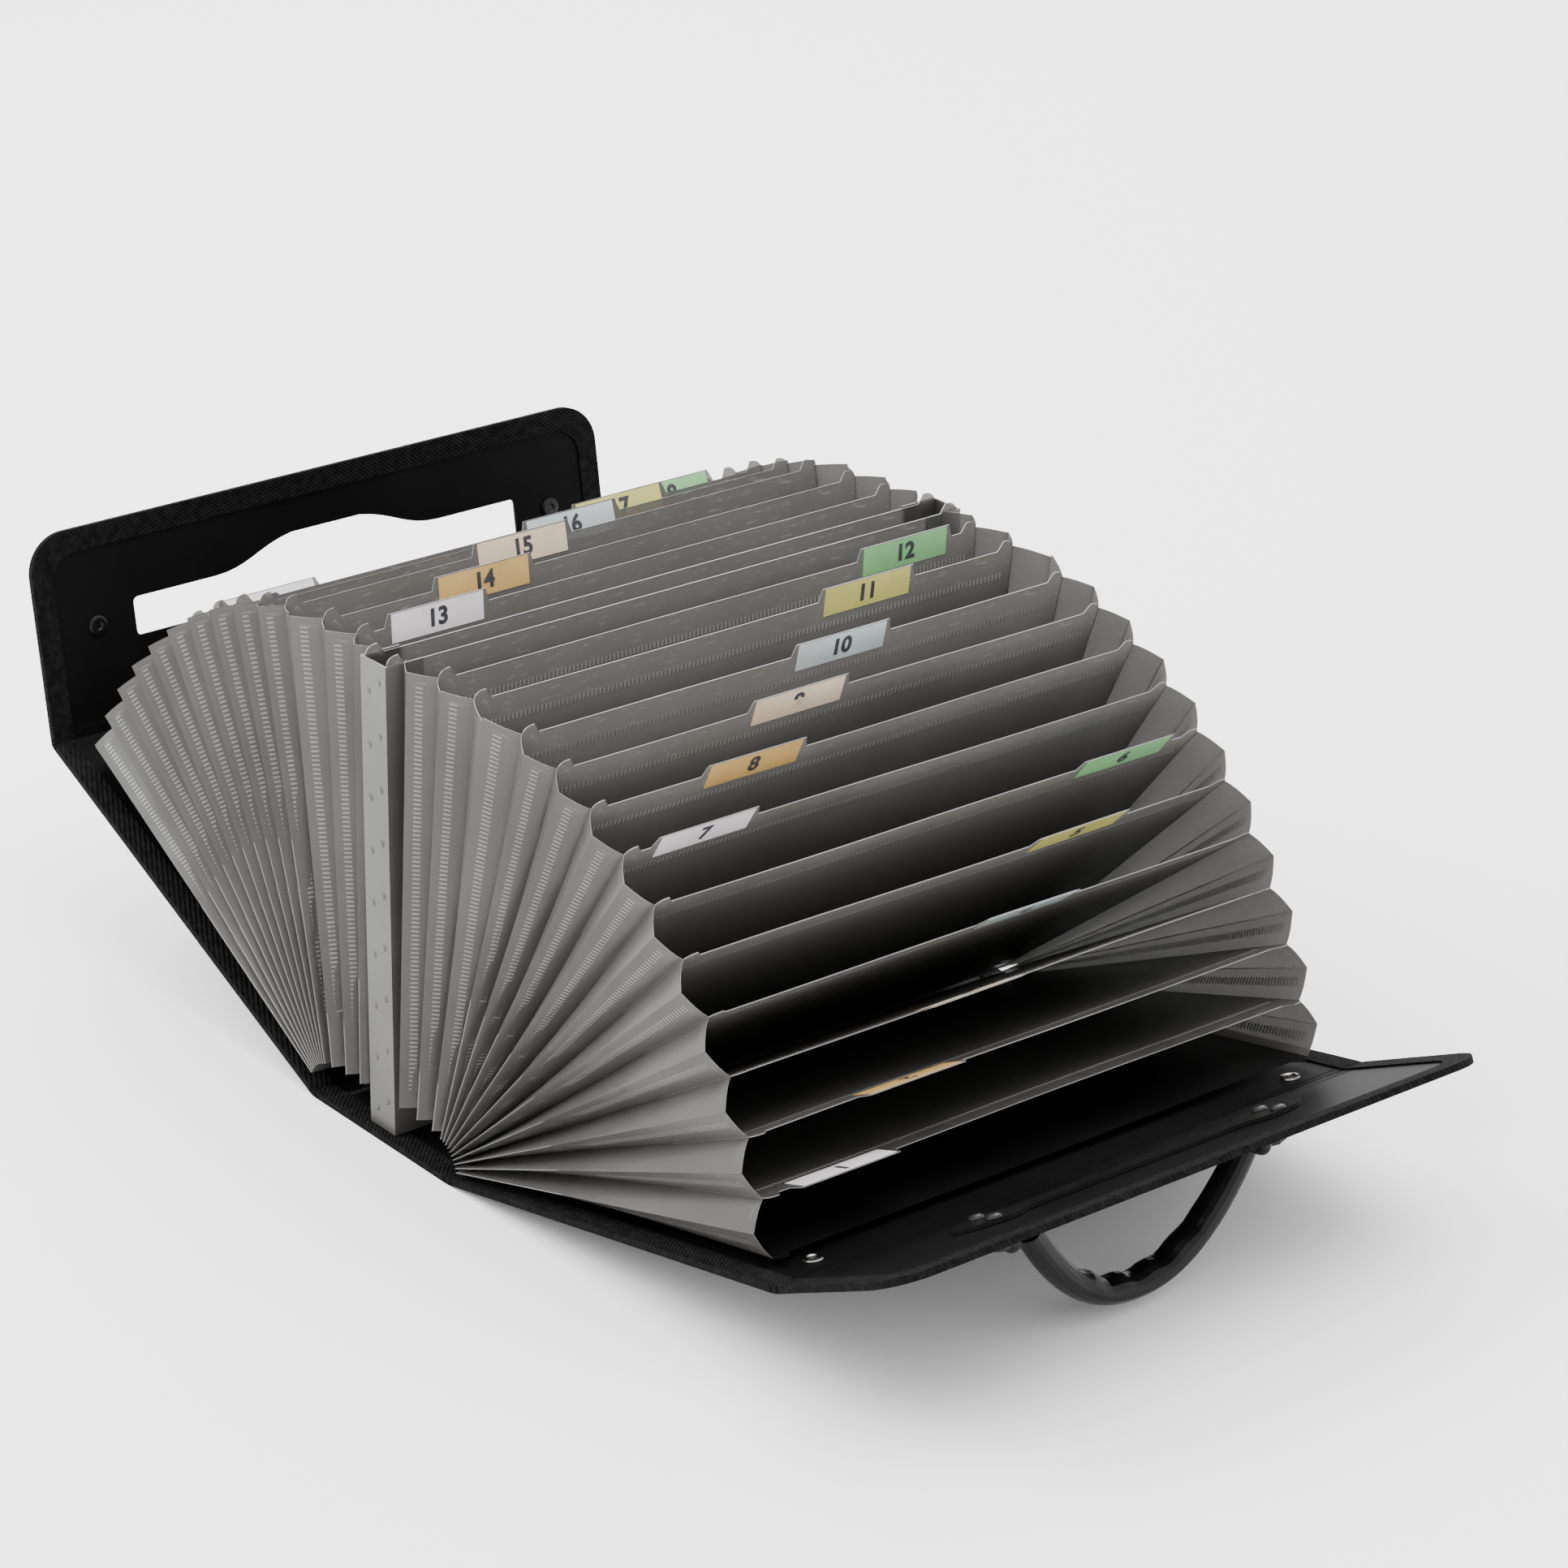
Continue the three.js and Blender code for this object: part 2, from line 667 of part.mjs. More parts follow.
function dividerBody(line, before, after, tabY) {
  const neighbours = [before, after];
  const sections = [
    dividerSection(line, neighbours, 0, false),
    dividerSection(line, neighbours, 0, true),
    dividerSection(line, neighbours, 1, true),
  ];
  const n = sections[0].points.length;
  const half = n / 2;
  const points = sections.flatMap((section) => section.points);
  const faces = ringSides(sections.length, n);
  const all = Array.from({ length: n }, (_, j) => n - 1 - j);
  faces.push(...fill(all, all.map((j) => sections[0].flat[j])));
  const top = (sections.length - 1) * n;
  for (const first of [0, half]) {
    const ids = Array.from({ length: half }, (_, j) => first + j);
    faces.push(...fill(ids.map((j) => top + j), ids.map((j) => sections[2].flat[j])));
  }
  const profile = topProfile(line.height, tabY);
  const flat = profile.map(([y, r]) => new THREE.Vector2(y, r));
  const count = profile.length;
  const front = Array.from({ length: count }, (_, i) => points.length + i);
  const rear = front.map((id) => id + count);
  for (const off of [dividerThick / 2, -dividerThick / 2]) {
    for (const [y, r] of profile) points.push(line.at(r, y, off));
  }
  const foot = [-dividerHalfWidth, dividerHalfWidth]
    .map((y) => new THREE.Vector2(y, line.height));
  faces.push(...fill([top + n - 1, top, ...front], [foot[1], foot[0], ...flat]));
  faces.push(...fill(
    [top + half - 1, top + half, ...rear.slice().reverse()],
    [foot[0], foot[1], ...flat.slice().reverse()],
  ));
  const quad = (a, b, c, d) => faces.push(a, b, c, a, c, d);
  for (let i = 0; i + 1 < count; i += 1) quad(front[i + 1], front[i], rear[i], rear[i + 1]);
  quad(front[0], top, top + half - 1, rear[0]);
  quad(top + n - 1, front[count - 1], rear[count - 1], top + half);
  return closedSolid(points.flatMap((p) => [p.x, p.y, p.z]), faces);
}

function tabPosition(side, k) {
  const turn = (k - 1) % tabPlaces;
  const spot = side > 0 ? tabPlaces - 1 - turn : turn;
  return (spot - (tabPlaces - 1) / 2) * tabPitch;
}

function pad(k) {
  return String(k).padStart(2, '0');
}

function buildFan(name, side, panelDegrees) {
  const lines = dividerLines(side, panelDegrees);
  for (let k = 1; k <= dividerCount; k += 1) {
    const body = dividerBody(lines[k], lines[k - 1], lines[k + 1], tabPosition(side, k));
    place(`divider_${name}_${pad(k)}`, body, smokeFilm);
  }
  const last = lines[dividerCount + 1];
  place(`lining_${name}`, dividerBody(last, lines[dividerCount], null, null), smokeFilm);
}

// Rigid end of the box pocket: a channel with two rows of weld dimples
function buildBoxEnd(name, end) {
  const y0 = end < 0 ? -boxHalfWidth : boxHalfWidth - boxFlange;
  const y1 = y0 + boxFlange;
  const w0 = end < 0 ? y0 + boxSkin : y0 - 1;
  const w1 = end < 0 ? y1 + 1 : y1 - boxSkin;
  const channel = cut(
    box(boxBack, boxFront, y0, y1, boxFloor, boxTop),
    [box(boxBack + boxSkin, boxFront - boxSkin, w0, w1, boxFloor - 1, boxTop + 1)],
  );
  const dimples = [];
  for (let i = 0; i < dimpleCount; i += 1) {
    const z = boxFloor + 12 + i * (boxTop - boxFloor - 24) / (dimpleCount - 1);
    for (const x of dimpleX) {
      dimples.push(new THREE.SphereGeometry(1.9, 8, 6).scale(1, 0.45, 1)
        .translate(x, end * (boxHalfWidth - 0.2), z + (x > 0 ? 3 : -3)));
    }
  }
  place(`box_end_${name}`, join([channel, ...dimples]), silverFilm);
}

function buildBox() {
  buildBoxEnd('near', -1);
  buildBoxEnd('far', 1);
  const half = boxHalfWidth - boxSkin - 0.3;
  const wallHeight = dividerTop - boxFloor - 0.5;
  const inset = boxSkin + 0.3;
  const walls = [
    ['front', boxFront - inset - 0.7],
    ['back', boxBack + inset],
  ];
  for (const [name, x] of walls) {
    place(`box_wall_${name}`, box(x, x + 0.7, -half, half, boxFloor, boxFloor + wallHeight), silverFilm);
  }
  const floorGap = inset + 0.7 + 0.3;
  place('box_floor', box(
    boxBack + floorGap,
    boxFront - floorGap,
    -half,
    half,
    boxFloor,
    boxFloor + 0.8,
  ), silverFilm);
}

buildSpine();
const eyeletHoles = [-eyeletY, eyeletY].map((y) => disc(3.3, eyeletU, y, -4, 4, 32));
buildPanel('front', frames.front, frontHeight, eyeletHoles);
buildPanel('back', frames.back, backHeight, []);
buildOuterFlap();
buildInnerFlap();
buildButtons();
buildStrip();
buildRivets();
buildMounts();
buildHandle();
buildEyelets();
buildLoops();
buildFan('front', 1, frontAngle);
buildFan('back', -1, backAngle);
buildBox();

// Bring the bottom centre of the whole case to the origin
const bounds = new THREE.Box3().setFromObject(group);
const shiftX = -(bounds.min.x + bounds.max.x) / 2;
for (const mesh of group.children) mesh.geometry.translate(shiftX, 0, -bounds.min.z);

export default group;
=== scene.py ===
import math

import bpy
from mathutils import Matrix, Vector


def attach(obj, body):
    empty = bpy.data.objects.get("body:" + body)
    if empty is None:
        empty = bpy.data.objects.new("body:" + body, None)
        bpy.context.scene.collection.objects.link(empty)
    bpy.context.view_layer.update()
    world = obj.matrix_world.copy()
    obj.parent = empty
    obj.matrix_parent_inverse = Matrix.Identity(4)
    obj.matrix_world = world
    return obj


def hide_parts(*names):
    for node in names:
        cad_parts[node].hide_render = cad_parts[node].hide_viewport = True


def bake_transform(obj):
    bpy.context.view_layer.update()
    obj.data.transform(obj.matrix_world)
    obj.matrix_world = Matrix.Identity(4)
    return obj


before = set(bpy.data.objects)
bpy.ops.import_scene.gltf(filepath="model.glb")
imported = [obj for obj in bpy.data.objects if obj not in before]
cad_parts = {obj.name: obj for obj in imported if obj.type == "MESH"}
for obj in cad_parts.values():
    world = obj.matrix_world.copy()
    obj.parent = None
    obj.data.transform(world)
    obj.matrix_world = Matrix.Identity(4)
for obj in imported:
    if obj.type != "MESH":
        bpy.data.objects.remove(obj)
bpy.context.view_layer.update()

MM = 0.001
SHIFT_X, SHIFT_Z = -34.66526, -0.3

# Cover, in millimetres, as in the CAD
WIDTH = 330
SPINE = 106
FRONT_HEIGHT, BACK_HEIGHT = 234.5, 238.1
OUTER_FLAP, INNER_FLAP = 101, 83.5
FRONT_ANGLE, BACK_ANGLE = 12.0, 23.8
OUTER_ANGLE, INNER_ANGLE = 80.5, 25.5
HINGE_Z = 1.9

# Dividers
COUNT = 12
HALF = 150
TOP = 229
FOLD_BOTTOM, FOLD_TOP = 163, 158
GUSSET_START, GUSSET_LOWEST = 30, 17
GUSSET_SAG, GUSSET_STEPS = 0.1, 8
EAR_WIDTH, EAR_HEIGHT, TAB_HEIGHT = 9, 4.5, 6
TAB_WIDTH, TAB_PITCH, TAB_PLACES = 52, 43, 6
FILM = 0.45

# The foot, angle and lowest point of the upright sheets and of the fan
BOX_FLOOR = 3.8
SECOND_FOOT, SECOND_ANGLE = (21, 4.2), 87.5
THIRD_FOOT, THIRD_ANGLE = (32, 3.6), 83.7
UPRIGHT_START = 6
FAN_FOOT, FAN_START = (41, 2.8), 15
PANEL_GAP = 0.4

# Angles of the folded stack: the first sheet, and how far the last one leans past it
CLOSED_ANGLE, CLOSED_SPREAD = 90.5, 1.9

# Weld marks: the dotted line under each top edge and the ladder down each gusset
DOT_BELOW, DOT_HEIGHT, DOT_WIDTH, DOT_PITCH, DOT_LIFT, DOT_MARGIN = 14, 2.8, 0.9, 2.2, 0.07, 5
RUNG_FROM, RUNG_HEIGHT, RUNG_PITCH, RUNG_LIFT, RUNG_MARGIN = 26, 1.0, 2.1, 0.2, 4
LADDER = (0.52, 0.73)

# Label inserts and their numbers
LABEL_BELOW, LABEL_HALF, LABEL_THICK, LABEL_MARGIN = 1.2, 6.7, 0.4, 1.5
NUMBER_SIZE, NUMBER_DEPTH, NUMBER_WEIGHT, NUMBER_LIFT = 0.0112, 0.00006, 0.00042, 0.00008

# Walls of the box pocket
WALL_HALF, WALL_THICK, WALL_DROP = 159.5, 0.6, 0.6
WALL_PLACE = {"front": 5.45, "back": -10.45}

# Creases and the lines pressed beside them
TAPE_INSET = 10.5
COVER_SKIN, TAPE_SKIN = 0.62, 1.5
COVER_REACH, TAPE_REACH = 2.2, 2.6
SCORE_GAP, SCORE_HALF_WIDTH, SCORE_HALF_LENGTH = 5, 0.45, 153.5
SCORE_FACE, SCORE_HALF_HEIGHT = 0.7, 0.14

# Elastic loops
EYELET_Y = 134
CORD = 0.0026
LOOP_LOW = -3.25

BOX_FACE = {1: 6.55, -1: 11.55}
TRAVEL = {1: 80.4, -1: 68.6}
NAME = {1: "front", -1: "back"}


# Materials

def material(name, color, roughness, metallic=0.0, coat=0.0, specular=0.5):
    """A plain material with one colour, for the functions below to work on."""
    mat = bpy.data.materials.new(name)
    mat.use_nodes = True
    bsdf = mat.node_tree.nodes["Principled BSDF"]
    bsdf.inputs["Base Color"].default_value = (*color, 1)
    bsdf.inputs["Roughness"].default_value = roughness
    bsdf.inputs["Metallic"].default_value = metallic
    bsdf.inputs["Coat Weight"].default_value = coat
    bsdf.inputs["Specular IOR Level"].default_value = specular
    return mat


def node(mat, kind, **values):
    made = mat.node_tree.nodes.new(kind)
    for key, value in values.items():
        setattr(made, key, value)
    return made


def link(mat, a, b):
    mat.node_tree.links.new(a, b)


def object_coordinates(mat, rotation=(0, 0, 0)):
    coord = node(mat, "ShaderNodeTexCoord")
    mapping = node(mat, "ShaderNodeMapping")
    mapping.inputs["Rotation"].default_value = rotation
    link(mat, coord.outputs["Object"], mapping.inputs["Vector"])
    return mapping.outputs["Vector"]


def mottle(mat, color_a, color_b, scale, low=0.35, high=0.65):
    """Lets the base colour wander between two colours."""
    noise = node(mat, "ShaderNodeTexNoise")
    noise.inputs["Scale"].default_value = scale
    noise.inputs["Detail"].default_value = 5
    ramp = node(mat, "ShaderNodeValToRGB")
    ramp.color_ramp.elements[0].position = low
    ramp.color_ramp.elements[0].color = (*color_a, 1)
    ramp.color_ramp.elements[1].position = high
    ramp.color_ramp.elements[1].color = (*color_b, 1)
    link(mat, object_coordinates(mat), noise.inputs["Vector"])
    link(mat, noise.outputs["Fac"], ramp.inputs["Fac"])
    link(mat, ramp.outputs["Color"], mat.node_tree.nodes["Principled BSDF"].inputs["Base Color"])


def bump(mat, height, strength, distance, after=None):
    """Adds fine relief from a height, on top of an earlier one."""
    made = node(mat, "ShaderNodeBump")
    made.inputs["Strength"].default_value = strength
    made.inputs["Distance"].default_value = distance
    link(mat, height, made.inputs["Height"])
    if after:
        link(mat, after.outputs["Normal"], made.inputs["Normal"])
    link(mat, made.outputs["Normal"], mat.node_tree.nodes["Principled BSDF"].inputs["Normal"])
    return made


def noise_height(mat, scale, detail=3):
    made = node(mat, "ShaderNodeTexNoise")
    made.inputs["Scale"].default_value = scale
    made.inputs["Detail"].default_value = detail
    link(mat, object_coordinates(mat), made.inputs["Vector"])
    return made.outputs["Fac"]


def cover_material(name, outward):
    """Smooth satin on the inside of the sheet, embossed grain on the outside."""
    mat = material(name, (0.004, 0.004, 0.004), 0.5, specular=0.03)
    mottle(mat, (0.0022, 0.0022, 0.0024), (0.0042, 0.004, 0.0043), 14)
    cells = node(mat, "ShaderNodeTexVoronoi", feature="DISTANCE_TO_EDGE")
    cells.inputs["Scale"].default_value = 620
    link(mat, object_coordinates(mat), cells.inputs["Vector"])
    coord = node(mat, "ShaderNodeTexCoord")
    facing = node(mat, "ShaderNodeVectorMath", operation="DOT_PRODUCT")
    facing.inputs[1].default_value = outward
    link(mat, coord.outputs["Normal"], facing.inputs[0])
    outside = node(mat, "ShaderNodeMath", operation="GREATER_THAN")
    outside.inputs[1].default_value = 0.5
    link(mat, facing.outputs["Value"], outside.inputs[0])
    grain = node(mat, "ShaderNodeMath", operation="MULTIPLY")
    link(mat, cells.outputs["Distance"], grain.inputs[0])
    link(mat, outside.outputs[0], grain.inputs[1])
    first = bump(mat, grain.outputs[0], 1, 0.001)
    bump(mat, noise_height(mat, 160), 0.12, 0.0004, first)
    return mat


def tape_material(name, rotation):
    """Twill tape: fine ribs across two directions with a worn, dry surface."""
    mat = material(name, (0.004, 0.004, 0.004), 0.9, specular=0.05)
    mottle(mat, (0.0025, 0.0025, 0.0025), (0.007, 0.007, 0.007), 260)
    vector = object_coordinates(mat, rotation)
    ribs = node(mat, "ShaderNodeTexWave", wave_type="BANDS", bands_direction="DIAGONAL")
    ribs.inputs["Scale"].default_value = 240
    ribs.inputs["Distortion"].default_value = 0.4
    link(mat, vector, ribs.inputs["Vector"])
    first = bump(mat, ribs.outputs["Fac"], 0.9, 0.0005)
    bump(mat, noise_height(mat, 1500, 2), 0.3, 0.0003, first)
    return mat


def film_material(name, dark, pale, through, top_highlight=None, alpha=0.6, gloss=0.6):
    """Frosted translucent film: light soaks through it, the surface keeps a soft gloss.
    The UV map gives the distance along the top edge and below it, in metres, for the painted highlight
    along that edge."""
    mat = material(name, pale, 0.3, specular=gloss)
    tree = mat.node_tree
    bsdf = tree.nodes["Principled BSDF"]
    bsdf.inputs["Alpha"].default_value = alpha
    mottle(mat, dark, pale, 22, 0.3, 0.7)
    # Painted highlight: the colour turns lighter in streaks within 20 mm below the top edge, standing in
    # for light on the tops of the sheets
    if top_highlight:
        plain_tone = bsdf.inputs["Base Color"].links[0].from_socket
        place = node(mat, "ShaderNodeTexCoord")
        apart = node(mat, "ShaderNodeSeparateXYZ")
        link(mat, place.outputs["UV"], apart.inputs["Vector"])
        near_edge = node(mat, "ShaderNodeMapRange")
        near_edge.inputs["From Min"].default_value = 0.0
        near_edge.inputs["From Max"].default_value = 0.02
        near_edge.inputs["To Min"].default_value = 1.0
        near_edge.inputs["To Max"].default_value = 0.0
        link(mat, apart.outputs["Y"], near_edge.inputs["Value"])
        stretch = node(mat, "ShaderNodeMapping")
        stretch.inputs["Scale"].default_value = (60, 260, 1)
        link(mat, place.outputs["UV"], stretch.inputs["Vector"])
        streak_noise = node(mat, "ShaderNodeTexNoise")
        streak_noise.inputs["Scale"].default_value = 1.6
        streak_noise.inputs["Detail"].default_value = 8
        streak_noise.inputs["Roughness"].default_value = 0.7
        link(mat, stretch.outputs["Vector"], streak_noise.inputs["Vector"])
        patches = node(mat, "ShaderNodeMapRange")
        patches.inputs["From Min"].default_value = 0.56
        patches.inputs["From Max"].default_value = 0.68
        link(mat, streak_noise.outputs["Fac"], patches.inputs["Value"])
        amount = node(mat, "ShaderNodeMath", operation="MULTIPLY")
        link(mat, near_edge.outputs["Result"], amount.inputs[0])
        link(mat, patches.outputs["Result"], amount.inputs[1])
        top_light_mix = node(mat, "ShaderNodeMix", data_type="RGBA")
        top_light_mix.inputs["B"].default_value = (*top_highlight, 1)
        link(mat, amount.outputs[0], top_light_mix.inputs["Factor"])
        link(mat, plain_tone, top_light_mix.inputs["A"])
        link(mat, top_light_mix.outputs["Result"], bsdf.inputs["Base Color"])
    first = bump(mat, noise_height(mat, 7), 0.5, 0.006)
    bump(mat, noise_height(mat, 300), 0.04, 0.0002, first)
    if not through:
        return mat
    output = tree.nodes["Material Output"]
    soak = node(mat, "ShaderNodeBsdfTranslucent")
    soak.inputs["Color"].default_value = (*[min(1, 1.8 * c) for c in pale], 1)
    mix = node(mat, "ShaderNodeMixShader")
    mix.inputs["Fac"].default_value = through
    link(mat, bsdf.outputs["BSDF"], mix.inputs[1])
    link(mat, soak.outputs["BSDF"], mix.inputs[2])
    link(mat, mix.outputs["Shader"], output.inputs["Surface"])
    return mat


# The last colour given to the smoke and gusset films is their painted highlight along the top edge
smoke = film_material("smoke_film", (0.082, 0.079, 0.075), (0.112, 0.108, 0.103), 0.4,
                      top_highlight=(0.38, 0.38, 0.37))
gusset = film_material("gusset_film", (0.078, 0.076, 0.073), (0.105, 0.102, 0.098), 0.36,
                       top_highlight=(0.2, 0.2, 0.2), alpha=0.8)
ladder_weld = film_material("ladder_welds", (0.11, 0.108, 0.105), (0.145, 0.142, 0.138), 0, alpha=1)
dotted_weld = film_material("dotted_welds", (0.19, 0.186, 0.18), (0.25, 0.245, 0.24), 0, alpha=1)
# Painted highlight: the cut edges of the film sheets are coloured lighter than their faces, for the bright
# line of light along them
edge_highlight_film = film_material("film_edge_painted_highlight", (0.12, 0.118, 0.115), (0.17, 0.168, 0.164), 0, alpha=1)
lining_film = film_material("lining_film", (0.003, 0.003, 0.003), (0.005, 0.005, 0.005), 0,
                            alpha=1, gloss=0.05)
silver = material("silver_film", (0.065, 0.063, 0.061), 0.36, specular=0.4)
mottle(silver, (0.05, 0.049, 0.047), (0.07, 0.068, 0.066), 18)
bump(silver, noise_height(silver, 300), 0.15, 0.0004)
hard_black = material("black_plastic", (0.004, 0.004, 0.004), 0.32, specular=0.16)
mottle(hard_black, (0.0025, 0.0025, 0.0025), (0.005, 0.005, 0.005), 90)
bump(hard_black, noise_height(hard_black, 900), 0.08, 0.0002)
nickel = material("nickel", (0.2, 0.197, 0.19), 0.24, metallic=1.0)
mottle(nickel, (0.15, 0.147, 0.14), (0.22, 0.217, 0.21), 400)
rivet_black = material("rivet_black", (0.01, 0.01, 0.01), 0.3, specular=0.3)
mottle(rivet_black, (0.008, 0.008, 0.008), (0.014, 0.014, 0.014), 500)
elastic = material("elastic_cord", (0.006, 0.006, 0.006), 0.9, specular=0.1)
mottle(elastic, (0.004, 0.004, 0.004), (0.011, 0.011, 0.011), 900)
ink = material("ink", (0.03, 0.03, 0.035), 0.6)
mottle(ink, (0.02, 0.02, 0.025), (0.04, 0.04, 0.045), 300)
groove = material("groove", (0.004, 0.004, 0.004), 0.6, specular=0.04)
mottle(groove, (0.002, 0.002, 0.002), (0.005, 0.005, 0.005), 200)

PAPER = [
    ("paper_white", (0.78, 0.74, 0.76)),
    ("paper_ochre", (0.56, 0.36, 0.12)),
    ("paper_cream", (0.68, 0.54, 0.4)),
    ("paper_blue", (0.47, 0.54, 0.55)),
    ("paper_yellow", (0.54, 0.5, 0.14)),
    ("paper_green", (0.2, 0.46, 0.2)),
]
papers = []
for paper_name, tint in PAPER:
    paper = material(paper_name, tint, 0.4, coat=0.35)
    mottle(paper, [0.88 * c for c in tint], tint, 60)
    papers.append(paper)


# Geometry helpers

def panel_frame(side, x, z, degrees):
    """A plate's frame: x up the plate from its hinge, y across, z into the case."""
    a = math.radians(degrees)
    matrix = Matrix.Identity(4)
    up = Vector((side * math.cos(a), 0, math.sin(a)))
    across = Vector((0, side, 0))
    inward = Vector((-side * math.sin(a), 0, math.cos(a)))
    for i, axis in enumerate((up, across, inward)):
        matrix.col[i] = (*axis, 0)
    matrix.col[3] = ((x + SHIFT_X) * MM, 0, (z + SHIFT_Z) * MM, 1)
    return matrix


def corner(side, length, degrees):
    """Where a plate of the cover ends, at the next crease."""
    a = math.radians(degrees)
    return side * (SPINE / 2 + length * math.cos(a)), HINGE_Z + length * math.sin(a)


frames = {
    "front": panel_frame(1, SPINE / 2, HINGE_Z, FRONT_ANGLE),
    "back": panel_frame(-1, -SPINE / 2, HINGE_Z, BACK_ANGLE),
    "inner": panel_frame(1, *corner(1, FRONT_HEIGHT, FRONT_ANGLE), INNER_ANGLE),
    "outer": panel_frame(-1, *corner(-1, BACK_HEIGHT, BACK_ANGLE), OUTER_ANGLE),
}


# The faces of a box whose first four corners are one side and whose last four are the other
BOX_FACES = [(0, 1, 3, 2), (4, 6, 7, 5), (0, 4, 5, 1), (2, 3, 7, 6), (0, 2, 6, 4), (1, 5, 7, 3)]


class Builder:
    """Collects closed shells, each face with its material, into one mesh."""

    def __init__(self):
        self.points, self.faces, self.slots, self.smooth = [], [], [], []
        self.materials, self.places = [], []

    def slot(self, mat):
        if mat not in self.materials:
            self.materials.append(mat)
        return self.materials.index(mat)

    def shell(self, points, faces, mat, smooth=False, places=None, rim=None, rim_from=None):
        base = len(self.points)
        self.points += [Vector(p) for p in points]
        self.places += places or [(0, 1)] * len(points)
        for index, face in enumerate(faces):
            self.faces.append([base + i for i in face])
            on_rim = rim_from is not None and index >= rim_from
            self.slots.append(self.slot(rim if on_rim else mat))
            self.smooth.append(smooth and not on_rim)

    def box(self, frame_matrix, x0, x1, y0, y1, z0, z1, mat):
        """A box in millimetres of a frame."""
        points = [frame_matrix @ (Vector((x, y, z)) * MM)
                  for x in (x0, x1) for y in (y0, y1) for z in (z0, z1)]
        self.shell(points, BOX_FACES, mat)

    def sheet(self, rows, normal, thickness, mat, depths=None, rim=None):
        """A thin closed sheet through rows of points (in metres), with thickness along normal.
        depths are each row's distances below the top edge, for the painted highlight along it."""
        m, n = len(rows), len(rows[0])
        flat = [p for row in rows for p in row]
        offset = Vector(normal) * (thickness / 2)
        points = [p + offset for p in flat] + [p - offset for p in flat]
        faces = []
        size = m * n
        for i in range(m - 1):
            for j in range(n - 1):
                a, b, c, d = i * n + j, i * n + j + 1, (i + 1) * n + j + 1, (i + 1) * n + j
                faces.append((a, b, c, d))
                faces.append((size + d, size + c, size + b, size + a))
        around = [j for j in range(n)] + [i * n + n - 1 for i in range(1, m)]
        around += [(m - 1) * n + j for j in range(n - 2, -1, -1)]
        around += [i * n for i in range(m - 2, 0, -1)]
        rim_steps = list(zip(around, around[1:] + around[:1]))
        for a, b in rim_steps:
            faces.append((b, a, size + a, size + b))
        inner = len(faces) - len(rim_steps)
        places = None
        if depths:
            places = [(p.y, d) for row, deep in zip(rows, depths) for p, d in zip(row, deep)] * 2
        self.shell(points, faces, mat, True, places, rim or mat, inner)

    def build(self, name):
        mesh = bpy.data.meshes.new(name)
        mesh.from_pydata([tuple(p) for p in self.points], [], self.faces)
        for mat in self.materials:
            mesh.materials.append(mat)
        for polygon, slot, smooth in zip(mesh.polygons, self.slots, self.smooth):
            polygon.material_index = slot
            polygon.use_smooth = smooth
        film_uv = mesh.uv_layers.new(name="film")
        for loop in mesh.loops:
            film_uv.data[loop.index].uv = self.places[loop.vertex_index]
        mesh.set_sharp_from_angle(angle=math.radians(40))
        mesh.update()
        obj = bpy.data.objects.new(name, mesh)
        bpy.context.scene.collection.objects.link(obj)
        return obj


# Dividers

class Line:
    """One divider seen from the side, from its foot to its top edge, in millimetres."""

    def __init__(self, side, foot, degrees, start):
        self.side, self.foot, self.degrees, self.start = side, foot, degrees, start
        self.height = TOP - foot[1]
        a = math.radians(degrees)
        self.cos, self.sin = math.cos(a), math.sin(a)

    def at(self, r, y, off):
        x = self.side * (self.foot[0] + r * self.cos + off * self.sin)
        z = self.foot[1] + r * self.sin - off * self.cos
        return Vector((x + SHIFT_X, y, z + SHIFT_Z)) * MM

    def normal(self):
        return Vector((self.side * self.sin, 0, -self.cos))

    def matrix(self):
        """x up the sheet, y along the width, z towards the cover panel."""
        up = Vector((self.side * self.cos, 0, self.sin))
        out = self.normal()
        matrix = Matrix.Identity(4)
        for i, axis in enumerate((up, out.cross(up), out)):
            matrix.col[i] = (*axis, 0)
        matrix.col[3] = (*self.at(0, 0, 0), 1)
        return matrix


def fan_lines(side, panel_degrees):
    """The box wall, the two upright sheets, and the fan down to the film on the panel."""
    lines = [
        Line(side, (BOX_FACE[side], BOX_FLOOR), 90, 0),
        Line(side, SECOND_FOOT, SECOND_ANGLE, UPRIGHT_START),
        Line(side, THIRD_FOOT, THIRD_ANGLE, UPRIGHT_START),
    ]
    last = panel_degrees + PANEL_GAP
    fanned = COUNT - 1
    for k in range(1, fanned + 1):
        degrees = THIRD_ANGLE + (last - THIRD_ANGLE) * k / fanned
        lines.append(Line(side, FAN_FOOT, degrees, FAN_START))
    return lines


def weight(side, k, line):
    """How much of the panel's turn a divider follows, so that the closed case is a flat stack."""
    if k == 0:
        return 0.0
    if k == COUNT + 1:
        return 1.0
    target = CLOSED_ANGLE + CLOSED_SPREAD * (k - 1) / COUNT
    return (target - line.degrees) / TRAVEL[side]


def inverse_smoothstep(w):
    """Where a blend that eases in and out has reached the weight w."""
    return 0.5 - math.sin(math.asin(1 - 2 * min(1, max(0, w))) / 3)


def follow(obj, side, line, w, change, reach):
    """Works out where obj's blend between divider and panel would start and end, for weight w at the
    divider and change more at reach millimetres off it, then only bakes obj's transform into its mesh;
    nothing turns obj.
    """
    if w >= 0.999:
        t0 = 1.0
        length = reach / max(1e-6, 1 - inverse_smoothstep(1 - abs(change)))
    else:
        t0 = inverse_smoothstep(w)
        length = 6 * t0 * (1 - t0) * reach / max(1e-4, change)
    start = line.at(100, 0, -t0 * length)
    end = line.at(100, 0, (1 - t0) * length)
    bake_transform(obj)


